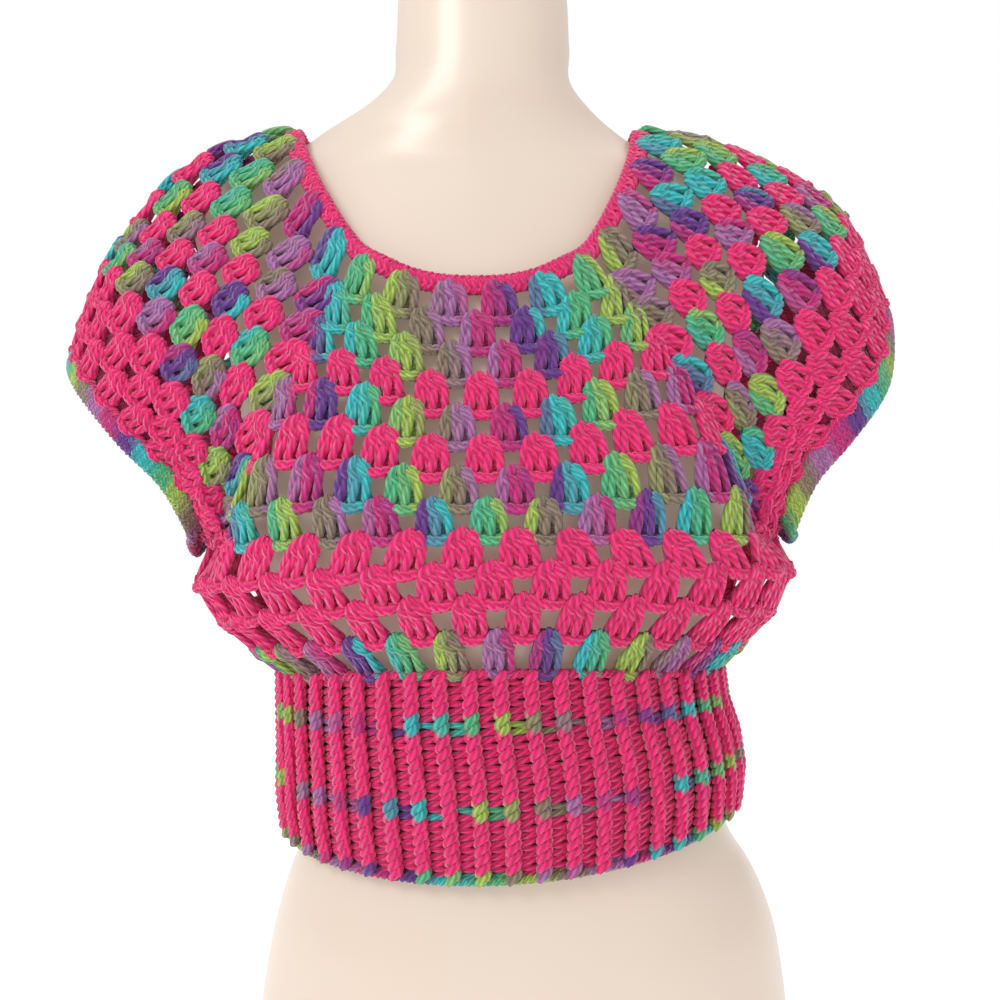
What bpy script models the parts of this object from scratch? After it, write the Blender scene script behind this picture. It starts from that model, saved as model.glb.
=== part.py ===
"""A crochet top, worked from the neck down in one piece, on a limbless dress form.

Every wall of the top is lofted through rings, one ring below each row of stitches. Ring 0
is the lower edge of the neckband, rings 0 to 8 are the yoke, rings 8 to 12 the body, and
rings 8 to 11 of each sleeve its short tube. Table lengths are in millimetres. Heights are
above the base, and depths and half widths are from the middle of the figure, which leans
a little to one side as it rises.
"""
import math

import bmesh
import bpy
from mathutils import Vector

MM = 0.001

# ---- driving dimensions, in millimetres ----
MIDDLE_X = 5.6          # where the middle of the figure stands in the part's frame
MIDDLE_Y = 0.5
LEAN = 0.0625           # sideways lean of the middle line, per unit of height
LEAN_HEIGHT = 340.0     # height at which the middle line passes over the base's middle
CLOTH_WALL = 4.0        # granny stitch
RIB_WALL = 7.0          # post stitch rib
BAND_WALL = 5.0         # single crochet bands
BAND_WIDTH = 7.0        # neckband, from its seam to its free edge
SEAM_GAP = 0.42         # between pieces that meet at a seam
YOKE_ROWS = 8
BODY_ROWS = 12          # rings 8 to 12 are the body
TUBE_RINGS = (8, 9.5, 11, 12)   # rings 8 to 11 are a sleeve's tube, 11 to 12 its edging
HEM_RING = 12           # the free edge of a sleeve
ROUNDNESS = 2.4         # exponent of the body's plan outline

# Segments round each stretch of a ring.
FRONT_STEPS = 20
SLEEVE_STEPS = 16
UNDERARM_STEPS = 6
FORM_STEPS = 40

# ---- the rings ----
# Depth and height at the middle of the front and of the back, and the outline's reach.
CENTRE_COLUMNS = ("ring", "front_depth", "front_height", "back_depth", "back_height", "reach")
CENTRE = (
    (0, 75, 445, 66, 475, 130),
    (2, 87, 413, 84, 441, 145),
    (4, 99, 381, 95, 406, 153),
    (6, 108, 351, 101, 371, 158),
    (8, 111, 322, 103, 336, 160),
)

# Half of a sleeve's ring, from the top of the shoulder down to the raglan corner. The back
# half mirrors the front half. Each lift is how much higher the wearer's left sleeve sits
# than the table, and how much lower the right one. The tuck draws the ring in above the
# armpit.
SLEEVE_COLUMNS = (
    "ring", "crest_x", "crest_z", "high_x", "high_y", "high_z", "low_x", "low_y", "low_z",
    "fold_x", "corner_x", "corner_y", "corner_z", "crest_lift", "lift", "tuck",
)
SLEEVE = (
    (0, 104, 552, 96, 24, 527, 83, 44, 499, 48, 62, 61, 466, 0, 0, 0),
    (2, 136, 546, 127, 26, 520, 108, 50, 476, 70, 83, 71, 426, 1, 7, 0),
    (4, 167, 532, 152, 28, 502, 125, 57, 459, 94, 104, 76, 389, 3, 8, 0),
    (6, 193, 511, 172, 34, 485, 143, 60, 442, 118, 126, 60, 352, 10, 11, 0),
    (8, 212, 488, 188, 44, 460, 160, 60, 409, 128, 137, 50, 318, 16, 5, 0),
    (11, 231, 445, 213, 42, 412, 184, 54, 378, 0, 156, 41, 333, 16, 3, 4),
    (12, 235, 434, 217, 40, 401, 191, 52, 370, 0, 161, 44, 323, 15, 1, 4),
)
CREST_DEPTH = 8.0       # the top of the shoulder lies this far behind the middle
BACK_RATIO = 0.95       # depth of the back of a sleeve to its front
BACK_SHIFT = {"high": 16.0, "low": 12.0, "corner": 0.0}
RISE_SHARE = {"crest": 0.0, "high": 0.2, "low": 0.5, "corner": 0.8}

# The side of the body under the arm, and the underarm of a sleeve's tube.
SIDE_COLUMNS = ("ring", "half_width", "height", "front_depth", "front_height",
                "back_depth", "back_height", "lift")
SIDE = (
    (8, 156, 320, 111, 322, 103, 336, 4),
    (9, 165, 297, 111, 307, 102, 318, 4),
    (10, 154, 277, 109, 292, 100, 300, 3),
    (11, 136, 259, 104, 275, 96, 283, 2),
    (12, 123, 246, 98, 257, 90, 265, 1),
)
UNDERARM_COLUMNS = ("ring", "half_width", "height", "lift")
UNDERARM = (
    (8, 160, 328, 4),
    (11, 167, 322, 4),
    (12, 170, 313, 4),
)

# The waistband's sections, from the body's last ring down to the hem. The tilt lifts the
# hem towards the wearer's left, per unit of width.
RIB_COLUMNS = ("half_width", "front_depth", "front_height", "side_height",
               "back_depth", "back_height", "tilt", "shift")
RIB = (
    (123, 98, 257, 246, 90, 265, 0.01, 0),
    (124, 100, 232, 227, 89, 240, 0.03, 0),
    (127, 101, 206, 207, 90, 216, 0.045, 2),
    (129, 99, 181, 186, 92, 192, 0.055, 2),
    (127, 95, 156, 165, 94, 168, 0.065, 1),
)
RIB_ROUNDNESS = 2.0

# The dress form's level sections, from its base to its neck. Set back is how far the two
# ends of a section lie behind its middle, and shift moves it off the leaning middle line.
FORM_COLUMNS = ("height", "half_width", "set_back", "front_depth", "back_depth",
                "exponent", "shift")
FORM = (
    (0, 153, 0, 104, 112, 2.3, 0),
    (52, 148, 0, 103, 112, 2.3, 1),
    (80, 145, 0, 101, 109, 2.2, 3),
    (110, 139, 0, 97, 103, 2.2, 5),
    (135, 130, 0, 92, 96, 2.1, 5),
    (150, 122, 0, 88, 88, 2.1, 4),
    (165, 117, 0, 87, 84, 2.0, 3),
    (205, 116, 0, 92, 80, 2.0, 2),
    (250, 113, 0, 88, 79, 2.0, 0),
    (280, 121, 0, 94, 86, 2.1, 0),
    (320, 133, 0, 101, 93, 2.2, 0),
    (350, 137, 0, 100, 94, 2.1, 0),
    (385, 139, 0, 91, 88, 2.0, 0),
    (420, 144, 2, 79, 79, 1.9, 0),
    (450, 152, 5, 67, 68, 1.8, 0),
    (480, 160, 8, 54, 58, 1.7, 0),
    (500, 163, 10, 46, 52, 1.6, 0),
    (515, 159, 12, 41, 48, 1.5, 0),
    (528, 144, 13, 37, 45, 1.45, 0),
    (539, 114.6, 13, 37, 45, 1.4, 0),
    (547, 97.6, 12, 38, 45, 1.35, 1),
    (556, 82.4, 9, 39, 46, 1.4, 2),
    (565, 67, 6, 40, 47, 1.6, 6),
    (576, 54, 4, 40, 48, 1.9, 9),
    (600, 50, 3, 39, 46, 2.0, 12),
    (632, 48, 3, 38, 45, 2.0, 14),
    (646, 45, 3, 35, 42, 2.0, 15),
    (652, 38, 3, 28, 35, 2.0, 15),
)

# ---- colours, linear RGB, with roughness ----
HOT_PINK = (0.80, 0.016, 0.13)
PINK_IN_STRIPES = (0.55, 0.10, 0.24)
EDGE_GREEN = (0.16, 0.36, 0.22)
FORM_CREAM = (0.72, 0.62, 0.52)

FRONT, BACK = -1, 1
SIDES = {"right": -1, "left": 1}    # the wearer's right is at -X


# ---- tables ----
def table_row(table, columns, ring):
    """The table's values at one ring, on a smooth curve through its rows."""
    rows = [dict(zip(columns, row)) for row in table]
    keys = [row["ring"] for row in rows]
    if ring in keys:
        return rows[keys.index(ring)]
    after = next(index for index, key in enumerate(keys) if key > ring)
    low, high = rows[after - 1], rows[after]
    before, beyond = rows[max(after - 2, 0)], rows[min(after + 1, len(rows) - 1)]
    span = high["ring"] - low["ring"]
    part = (ring - low["ring"]) / span

    def slope(first, last, column):
        width = max(last["ring"] - first["ring"], 1)
        return (last[column] - first[column]) / width * span

    def value(column):
        start, end = slope(before, high, column), slope(low, beyond, column)
        square, cube = part ** 2, part ** 3
        return ((2 * cube - 3 * square + 1) * low[column] + (cube - 2 * square + part) * start
                + (3 * square - 2 * cube) * high[column] + (cube - square) * end)

    return {column: value(column) for column in columns}


def lean_at(height):
    """The sideways place of the figure's middle line at a height."""
    return MIDDLE_X - LEAN * (height - LEAN_HEIGHT)


def place(x, y, height):
    """A point in metres from a place relative to the leaning middle line."""
    return Vector(((x + lean_at(height)) * MM, (y + MIDDLE_Y) * MM, height * MM))


# ---- curves ----
SPAN_STEPS = 12


def smooth_curve(points, closed=False):
    """A dense curve through the points (a centripetal Catmull-Rom spline)."""
    if closed:
        chain = [points[-1]] + list(points) + [points[0], points[1]]
    else:
        ends = [points[0] * 2 - points[1], points[-1] * 2 - points[-2]]
        chain = [ends[0]] + list(points) + [ends[1]]
    dense = []
    for index in range(1, len(chain) - 2):
        p0, p1, p2, p3 = chain[index - 1:index + 3]
        t1 = max((p1 - p0).length, 1e-6) ** 0.5
        t2 = t1 + max((p2 - p1).length, 1e-6) ** 0.5
        t3 = t2 + max((p3 - p2).length, 1e-6) ** 0.5
        for step in range(SPAN_STEPS):
            t = t1 + (t2 - t1) * step / SPAN_STEPS
            a1 = p0 * ((t1 - t) / t1) + p1 * (t / t1)
            a2 = p1 * ((t2 - t) / (t2 - t1)) + p2 * ((t - t1) / (t2 - t1))
            a3 = p2 * ((t3 - t) / (t3 - t2)) + p3 * ((t - t2) / (t3 - t2))
            b1 = a1 * ((t2 - t) / t2) + a2 * (t / t2)
            b2 = a2 * ((t3 - t) / (t3 - t1)) + a3 * ((t - t1) / (t3 - t1))
            dense.append(b1 * ((t2 - t) / (t2 - t1)) + b2 * ((t - t1) / (t2 - t1)))
    dense.append(chain[-2].copy())
    return dense


def even_points(dense, steps):
    """Points an equal length apart along a dense curve, its two ends among them."""
    lengths = [0.0]
    for first, second in zip(dense, dense[1:]):
        lengths.append(lengths[-1] + (second - first).length)
    result = []
    index = 0
    for step in range(steps + 1):
        target = lengths[-1] * step / steps
        while index < len(lengths) - 2 and lengths[index + 1] < target:
            index += 1
        span = max(lengths[index + 1] - lengths[index], 1e-9)
        part = min(max((target - lengths[index]) / span, 0.0), 1.0)
        result.append(dense[index].lerp(dense[index + 1], part))
    return result


def oval_depth(x, half_width, depth, exponent=ROUNDNESS):
    """Depth of a superellipse at a distance x from its middle."""
    inside = max(1.0 - abs(x / half_width) ** exponent, 0.0)
    return depth * inside ** (1.0 / exponent)


# ---- the yoke ----
def sleeve_key(ring, side, face, name):
    """A key point of a sleeve's ring: its crest, high, low, tuck or corner point."""
    row = table_row(SLEEVE, SLEEVE_COLUMNS, ring)
    if name == "tuck":
        low, corner = (sleeve_key(ring, side, face, end) for end in ("low", "corner"))
        across = Vector((-SIDES[side] * 0.8, 0.0, 0.6)) * row["tuck"] * MM
        return low.lerp(corner, 0.5) + across
    lift = {"crest": row["crest_lift"], "corner": row["lift"] * 0.5}.get(name, row["lift"])
    height = row[name + "_z"] + SIDES[side] * lift
    depth = CREST_DEPTH if name == "crest" else face * row[name + "_y"]
    if face == BACK and name != "crest":
        depth = depth * BACK_RATIO + BACK_SHIFT[name] * (1 - ring / HEM_RING)
        middle = table_row(CENTRE, CENTRE_COLUMNS, min(ring, YOKE_ROWS))
        height += RISE_SHARE[name] * (middle["back_height"] - middle["front_height"])
    return place(SIDES[side] * row[name + "_x"], depth, height)


def over_shoulder_keys(ring, side):
    """A sleeve's key points from its front corner, over the crest, to its back corner."""
    names = ("corner", "low", "high") if ring <= YOKE_ROWS else ("corner", "tuck", "low", "high")
    front = [sleeve_key(ring, side, FRONT, name) for name in names]
    back = [sleeve_key(ring, side, BACK, name) for name in names[::-1]]
    return front + [sleeve_key(ring, side, FRONT, "crest")] + back


def panel_keys(ring, face):
    """Key points of a yoke ring across the front or the back, between the corners."""
    middle = table_row(CENTRE, CENTRE_COLUMNS, ring)
    corner_row = table_row(SLEEVE, SLEEVE_COLUMNS, ring)
    name = "front" if face == FRONT else "back"
    depth, height = middle[name + "_depth"], middle[name + "_height"]
    bend = 2.5 - 0.06 * ring            # a deep round neckline, and nearly level rows below
    halves = []
    for side in ("right", "left"):
        corner_height = sleeve_key(ring, side, face, "corner").z / MM
        half = []
        for share in (1.0, 0.72, 0.4):
            x = corner_row["fold_x"] * share
            rise = (corner_height - height) * (x / corner_row["corner_x"]) ** bend
            y = face * oval_depth(x, middle["reach"], depth)
            half.append(place(SIDES[side] * x, y, height + rise))
        halves.append(half)
    return halves[0] + [place(0.0, face * depth, height)] + halves[1][::-1]


def yoke_ring(ring):
    """A closed yoke ring, cut at its corners into evenly spaced stretches.

    The front and the back run from -X to +X, and each sleeve from its front corner to its
    back corner.
    """
    left, right = (over_shoulder_keys(ring, side) for side in ("left", "right"))
    keys = [right[0]] + panel_keys(ring, FRONT) + left
    back_start = len(keys) - 1
    keys += panel_keys(ring, BACK)[::-1] + right[:0:-1]
    dense = smooth_curve(keys, closed=True)
    cuts = [0, back_start - len(left) + 1, back_start, len(keys) - len(right) + 1, len(keys)]
    parts = [dense[first * SPAN_STEPS:last * SPAN_STEPS + 1] for first, last in zip(cuts, cuts[1:])]
    return {
        "front": even_points(parts[0], FRONT_STEPS),
        "left": even_points(parts[1], SLEEVE_STEPS),
        "back": even_points(parts[2][::-1], FRONT_STEPS),
        "right": even_points(parts[3][::-1], SLEEVE_STEPS),
    }


# ---- the body and the waistband ----
def oval_ring(row, side_height, tilt_lift, shift=0.0, exponent=ROUNDNESS):
    """A closed ring's front and back halves, each from -X to +X."""
    halves = {}
    for face, name in ((FRONT, "front"), (BACK, "back")):
        keys = []
        count = 24
        for step in range(count + 1):
            turn = math.pi * step / count
            x = -math.cos(turn)
            share = abs(x) ** 2.0
            depth = row[name + "_depth"]
            y = face * oval_depth(x, 1.0, depth, exponent)
            height = row[name + "_height"] * (1 - share) + side_height * share
            keys.append(place(x * row["half_width"] + shift, y, height + tilt_lift * x))
        halves[face] = even_points(keys, FRONT_STEPS + UNDERARM_STEPS)
    return halves


def body_ring(ring):
    """A body ring. Ring 8 follows the yoke's corners and the underarms instead."""
    row = table_row(SIDE, SIDE_COLUMNS, ring)
    if ring > YOKE_ROWS:
        exponent = ROUNDNESS - (ROUNDNESS - RIB_ROUNDNESS) * (ring - 8) / 4
        return oval_ring(row, row["height"], row["lift"], exponent=exponent)
    stretches = yoke_ring(ring)
    halves = {}
    for face, name in ((FRONT, "front"), (BACK, "back")):
        right = underarm_points("right", face, SIDE, SIDE_COLUMNS, ring)
        left = underarm_points("left", face, SIDE, SIDE_COLUMNS, ring)
        halves[face] = right[::-1][:-1] + stretches[name] + left[1:]
    return halves


def underarm_keys(side, face, table, columns, ring):
    """Key points from a raglan corner to the middle of the underarm."""
    row = table_row(table, columns, ring)
    corner = sleeve_key(ring, side, face, "corner")
    height = row["height"] + SIDES[side] * row["lift"]
    end = place(SIDES[side] * row["half_width"], 0.0, height)
    middle = corner.lerp(end, 0.5)
    middle.x = corner.x + (end.x - corner.x) * 0.72
    return [corner, middle, end]


def underarm_points(side, face, table, columns, ring):
    """Evenly spaced points from a raglan corner to the middle of the underarm."""
    keys = underarm_keys(side, face, table, columns, ring)
    return even_points(smooth_curve(keys), UNDERARM_STEPS // 2)


def rib_ring(index):
    """One section of the waistband."""
    row = dict(zip(RIB_COLUMNS, RIB[index]))
    lift = row["tilt"] * row["half_width"]
    return oval_ring(row, row["side_height"], lift, row["shift"], RIB_ROUNDNESS)


def tube_ring(ring, side):
    """A sleeve tube's ring: over the crest and back along the underarm, closed."""
    over = over_shoulder_keys(ring, side)
    back = underarm_keys(side, BACK, UNDERARM, UNDERARM_COLUMNS, ring)
    front = underarm_keys(side, FRONT, UNDERARM, UNDERARM_COLUMNS, ring)
    dense = smooth_curve(over + back[1:] + [front[1]], closed=True)
    cuts = [0, len(over) - 1, len(over) + 1, len(over) + 3]
    steps = (SLEEVE_STEPS, UNDERARM_STEPS // 2, UNDERARM_STEPS // 2)
    points = []
    for first, last, count in zip(cuts, cuts[1:], steps):
        stretch = dense[first * SPAN_STEPS:last * SPAN_STEPS + 1]
        points += even_points(stretch, count)[:-1]
    return points


# ---- walls ----
class Sheet:
    """Quads over named points, whose normals are shared by every piece of the garment."""

    def __init__(self):
        self.points = {}
        self.pieces = {}
        self.normals = {}

    def strip(self, piece, upper, lower, closed=False):
        """Quads between two rows of keys. The keys run so that the faces point outwards."""
        count = len(upper) if closed else len(upper) - 1
        faces = self.pieces.setdefault(piece, [])
        for index in range(count):
            after = (index + 1) % len(upper)
            faces.append((upper[index], lower[index], lower[after], upper[after]))

    def face_normal(self, face):
        """The normal of a quad, from its diagonals."""
        a, b, c, d = (self.points[key] for key in face)
        return (c - a).cross(d - b)

    def share_normals(self):
        """Averages the normals at each point over all the pieces that meet there."""
        for faces in self.pieces.values():
            for face in faces:
                normal = self.face_normal(face)
                for key in face:
                    self.normals[key] = self.normals.get(key, Vector()) + normal

    def wall(self, piece, thickness, material):
        """A closed wall of one piece, drawn back from its edges by half a seam's gap."""
        faces = self.pieces[piece]
        edges = {(key, face[(index + 1) % 4]) for face in faces for index, key in enumerate(face)}
        rim = sorted((edge for edge in edges if (edge[1], edge[0]) not in edges), key=str)
        inward = {}
        for edge in rim:
            along = self.points[edge[1]] - self.points[edge[0]]
            for key in edge:
                across = self.normals[key].cross(along).normalized()
                inward[key] = inward.get(key, Vector()) + across
        outline = bmesh.new()
        outer, inner = {}, {}
        for key in dict.fromkeys(key for face in faces for key in face):
            point = self.points[key].copy()
            if key in inward:
                point += inward[key].normalized() * SEAM_GAP * MM / 2
            offset = self.normals[key].normalized() * thickness * MM / 2
            outer[key] = outline.verts.new(point + offset)
            inner[key] = outline.verts.new(point - offset)
        for face in faces:
            outline.faces.new([outer[key] for key in face])
            outline.faces.new([inner[key] for key in reversed(face)])
        order = {key: index for index, key in enumerate(self.points)}
        for edge in rim:                # both walls at a seam are split along the same diagonal
            first, last = sorted(edge, key=order.get)
            outline.faces.new([outer[first], outer[last], inner[last]])
            outline.faces.new([outer[first], inner[last], inner[first]])
        mesh = bpy.data.meshes.new(piece)
        bmesh.ops.recalc_face_normals(outline, faces=outline.faces)
        outline.to_mesh(mesh)
        outline.free()
        mesh.materials.append(material)
        mesh.shade_smooth()
        part = bpy.data.objects.new(piece, mesh)
        bpy.context.scene.collection.objects.link(part)
        return part


def named_row(sheet, label, points):
    """Stores a row of points and returns their keys."""
    keys = [(label, index) for index in range(len(points))]
    for key, point in zip(keys, points):
        sheet.points[key] = point
    return keys


def yoke_rows(sheet):
    """The closed yoke rings, as keys of their four stretches, sharing the corners."""
    rows = []
    for ring in range(YOKE_ROWS + 1):
        parts = yoke_ring(ring)
        front = named_row(sheet, ("front", ring), parts["front"])
        back = named_row(sheet, ("back", ring), parts["back"])
        stretches = {"front": front, "back": back[::-1]}
        for side in SIDES:
            keys = named_row(sheet, (side, ring), parts[side])
            corners = (front[0], back[0]) if side == "right" else (front[-1], back[-1])
            keys = [corners[0]] + keys[1:-1] + [corners[1]]
            stretches[side] = keys[::-1] if side == "right" else keys
        rows.append(stretches)
    return rows


def add_yoke_and_body(sheet, rows):
    """The front, the back and the sleeves down to ring 8, then the body down to ring 12."""
    for upper, lower in zip(rows, rows[1:]):
        sheet.strip("front", upper["front"], lower["front"])
        sheet.strip("back", upper["back"], lower["back"])
        for side in SIDES:
            sheet.strip("sleeve_" + side, upper[side], lower[side])
    last = None
    for ring in range(YOKE_ROWS, BODY_ROWS + 1):
        halves = body_ring(ring)
        front = named_row(sheet, ("body front", ring), halves[FRONT])
        back = named_row(sheet, ("body back", ring), halves[BACK])
        if ring == YOKE_ROWS:
            edge = UNDERARM_STEPS // 2
            front[edge:-edge] = rows[ring]["front"]
            back[edge:-edge] = rows[ring]["back"][::-1]
        back = [front[0]] + back[1:-1] + [front[-1]]
        if last:
            sheet.strip("front", last[0], front)
            sheet.strip("back", last[1][::-1], back[::-1])
        last = (front, back)
    return last


def add_tubes(sheet, rows):
    """The sleeve tubes below ring 8, and the edging of each."""
    for side in SIDES:
        last = None
        for ring in TUBE_RINGS:
            keys = named_row(sheet, (side + " tube", ring), tube_ring(ring, side))
            if ring == YOKE_ROWS:
                back = underarm_points(side, BACK, UNDERARM, UNDERARM_COLUMNS, ring)
                front = underarm_points(side, FRONT, UNDERARM, UNDERARM_COLUMNS, ring)
                for key, point in zip(keys[SLEEVE_STEPS:], back[:-1] + front[::-1][:-1]):
                    sheet.points[key] = point
                over = rows[ring][side]
                keys[:SLEEVE_STEPS + 1] = over[::-1] if side == "right" else over
            if last:
                piece = ("sleeve_edge_" if ring == HEM_RING else "sleeve_") + side
                pair = (last[::-1], keys[::-1]) if side == "right" else (last, keys)
                sheet.strip(piece, pair[0], pair[1], closed=True)
            last = keys


def add_neckband(sheet, rows):
    """A band that carries the yoke's first row on, up past ring 0."""
    order = ("front", "left", "back", "right")
    ring = [key for name in order for key in rows[0][name][:-1]]
    below = [key for name in order for key in rows[1][name][:-1]]
    upper = []
    for index, (key, under) in enumerate(zip(ring, below)):
        rise = (sheet.points[key] - sheet.points[under]).normalized()
        sheet.points[("band", index)] = sheet.points[key] + rise * BAND_WIDTH * MM
        upper.append(("band", index))
    sheet.strip("neckband", upper, ring, closed=True)


def add_waistband(sheet, top):
    """The ribbed band below the body's last ring."""
    last = top[0] + top[1][-2:0:-1]
    for index in range(1, len(RIB)):
        halves = rib_ring(index)
        ring = halves[FRONT] + halves[BACK][-2:0:-1]
        keys = named_row(sheet, ("rib", index), ring)
        sheet.strip("waistband", last, keys, closed=True)
        last = keys


# ---- the dress form ----
def form_section(row):
    """A closed level outline of the form."""
    points = []
    for step in range(FORM_STEPS):
        turn = 2 * math.pi * step / FORM_STEPS
        power = 2.0 / row["exponent"]
        across = math.copysign(abs(math.sin(turn)) ** power, math.sin(turn))
        along = math.copysign(abs(math.cos(turn)) ** power, -math.cos(turn))
        depth = row["front_depth"] if along < 0 else row["back_depth"]
        y = along * depth + row["set_back"] * across ** 2
        points.append(place(across * row["half_width"] + row["shift"], y, row["height"]))
    return points


def build_form(material):
    """The form: one closed body with a flat base and a rounded neck."""
    outline = bmesh.new()
    rings = []
    for values in FORM:
        row = dict(zip(FORM_COLUMNS, values))
        rings.append([outline.verts.new(point) for point in form_section(row)])
    for lower, upper in zip(rings, rings[1:]):
        for index in range(FORM_STEPS):
            after = (index + 1) % FORM_STEPS
            outline.faces.new((lower[index], lower[after], upper[after], upper[index]))
    outline.faces.new(rings[0][::-1])
    outline.faces.new(rings[-1])
    bmesh.ops.recalc_face_normals(outline, faces=outline.faces)
    mesh = bpy.data.meshes.new("dress_form")
    outline.to_mesh(mesh)
    outline.free()
    mesh.materials.append(material)
    mesh.shade_smooth()
    mesh.set_sharp_from_angle(angle=math.radians(50))
    part = bpy.data.objects.new("dress_form", mesh)
    bpy.context.scene.collection.objects.link(part)


def plain_material(name, colour, roughness):
    """A Principled material of one colour."""
    material = bpy.data.materials.new(name)
    material.use_nodes = True
    shader = material.node_tree.nodes["Principled BSDF"]
    shader.inputs["Base Color"].default_value = (*colour, 1.0)
    shader.inputs["Roughness"].default_value = roughness
    shader.inputs["Metallic"].default_value = 0.0
    return material


def build_garment():
    """The sheet of the whole top, with the points and faces of all its pieces."""
    sheet = Sheet()
    rows = yoke_rows(sheet)
    last = add_yoke_and_body(sheet, rows)
    add_tubes(sheet, rows)
    add_neckband(sheet, rows)
    add_waistband(sheet, last)
    sheet.share_normals()
    return sheet


def main():
    """Builds every piece as an object of its own."""
    for item in list(bpy.data.objects):
        bpy.data.objects.remove(item, do_unlink=True)
    pieces = (
        ("front", CLOTH_WALL, PINK_IN_STRIPES),
        ("back", CLOTH_WALL, PINK_IN_STRIPES),
        ("sleeve_left", CLOTH_WALL, PINK_IN_STRIPES),
        ("sleeve_right", CLOTH_WALL, PINK_IN_STRIPES),
        ("sleeve_edge_left", BAND_WALL, EDGE_GREEN),
        ("sleeve_edge_right", BAND_WALL, EDGE_GREEN),
        ("neckband", BAND_WALL, HOT_PINK),
        ("waistband", RIB_WALL, HOT_PINK),
    )
    sheet = build_garment()
    for name, thickness, colour in pieces:
        sheet.wall(name, thickness, plain_material(name, colour, 0.8))
    build_form(plain_material("dress_form", FORM_CREAM, 0.35))


main()
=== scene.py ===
"""A crochet top on a dress form: its yarn, colours, form and studio, around the CAD frame.

The top is worked from the neck down. Each row is a ring of clusters of three double
crochets, whose narrow tops sit in the gaps of the row above. Every strand is a mesh tube
that follows the same rings as the solids. Lengths in the tables are in millimetres.
"""
import math

import bpy
import numpy as np
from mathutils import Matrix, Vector


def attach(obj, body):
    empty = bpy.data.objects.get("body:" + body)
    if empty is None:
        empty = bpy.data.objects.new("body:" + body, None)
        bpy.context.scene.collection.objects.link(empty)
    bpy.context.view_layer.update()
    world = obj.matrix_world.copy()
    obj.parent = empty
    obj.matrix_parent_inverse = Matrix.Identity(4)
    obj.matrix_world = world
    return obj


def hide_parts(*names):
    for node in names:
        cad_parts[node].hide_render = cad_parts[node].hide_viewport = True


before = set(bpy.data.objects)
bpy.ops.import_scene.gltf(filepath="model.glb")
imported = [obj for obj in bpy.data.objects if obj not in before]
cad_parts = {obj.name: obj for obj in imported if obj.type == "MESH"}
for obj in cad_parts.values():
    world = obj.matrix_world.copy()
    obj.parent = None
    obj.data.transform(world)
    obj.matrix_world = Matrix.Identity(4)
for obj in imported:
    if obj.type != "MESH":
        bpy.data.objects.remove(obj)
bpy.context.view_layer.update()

MM = 0.001

# ---- the frame's dimensions, as in the part's solids ----
MIDDLE_X = 5.6          # where the middle of the figure stands
MIDDLE_Y = 0.5
LEAN = 0.0625           # sideways lean of the middle line, per unit of height
LEAN_HEIGHT = 340.0     # height at which the middle line passes over the base's middle
YOKE_ROWS = 8
BODY_ROWS = 12
HEM_RING = 12           # the free edge of a sleeve
ROUNDNESS = 2.4         # exponent of the body's plan outline
BAND_WIDTH = 7.0        # neckband, from its seam to its free edge
FRONT_STEPS = 60        # points of a ring across the front, over a shoulder and under an arm
SLEEVE_STEPS = 48
UNDERARM_STEPS = 18

# ---- the rings ----
# Depth and height at the middle of the front and of the back, and the outline's reach.
CENTRE_COLUMNS = ("ring", "front_depth", "front_height", "back_depth", "back_height", "reach")
CENTRE = (
    (0, 75, 445, 66, 475, 130),
    (2, 87, 413, 84, 441, 145),
    (4, 99, 381, 95, 406, 153),
    (6, 108, 351, 101, 371, 158),
    (8, 111, 322, 103, 336, 160),
)

# Half of a sleeve's ring, from the top of the shoulder down to the raglan corner. The back
# half mirrors the front half. Each lift is how much higher the wearer's left sleeve sits
# than the table, and how much lower the right one. The tuck draws the ring in above the
# armpit.
SLEEVE_COLUMNS = (
    "ring", "crest_x", "crest_z", "high_x", "high_y", "high_z", "low_x", "low_y", "low_z",
    "fold_x", "corner_x", "corner_y", "corner_z", "crest_lift", "lift", "tuck",
)
SLEEVE = (
    (0, 104, 552, 96, 24, 527, 83, 44, 499, 48, 62, 61, 466, 0, 0, 0),
    (2, 136, 546, 127, 26, 520, 108, 50, 476, 70, 83, 71, 426, 1, 7, 0),
    (4, 167, 532, 152, 28, 502, 125, 57, 459, 94, 104, 76, 389, 3, 8, 0),
    (6, 193, 511, 172, 34, 485, 143, 60, 442, 118, 126, 60, 352, 10, 11, 0),
    (8, 212, 488, 188, 44, 460, 160, 60, 409, 128, 137, 50, 318, 16, 5, 0),
    (11, 231, 445, 213, 42, 412, 184, 54, 378, 0, 156, 41, 333, 16, 3, 4),
    (12, 235, 434, 217, 40, 401, 191, 52, 370, 0, 161, 44, 323, 15, 1, 4),
)
CREST_DEPTH = 8.0       # the top of the shoulder lies this far behind the middle
BACK_RATIO = 0.95       # depth of the back of a sleeve to its front
BACK_SHIFT = {"high": 16.0, "low": 12.0, "corner": 0.0}
RISE_SHARE = {"crest": 0.0, "high": 0.2, "low": 0.5, "corner": 0.8}

# The side of the body under the arm, and the underarm of a sleeve's tube.
SIDE_COLUMNS = ("ring", "half_width", "height", "front_depth", "front_height",
                "back_depth", "back_height", "lift")
SIDE = (
    (8, 156, 320, 111, 322, 103, 336, 4),
    (9, 165, 297, 111, 307, 102, 318, 4),
    (10, 154, 277, 109, 292, 100, 300, 3),
    (11, 136, 259, 104, 275, 96, 283, 2),
    (12, 123, 246, 98, 257, 90, 265, 1),
)
UNDERARM_COLUMNS = ("ring", "half_width", "height", "lift")
UNDERARM = (
    (8, 160, 328, 4),
    (11, 167, 322, 4),
    (12, 170, 313, 4),
)

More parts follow.
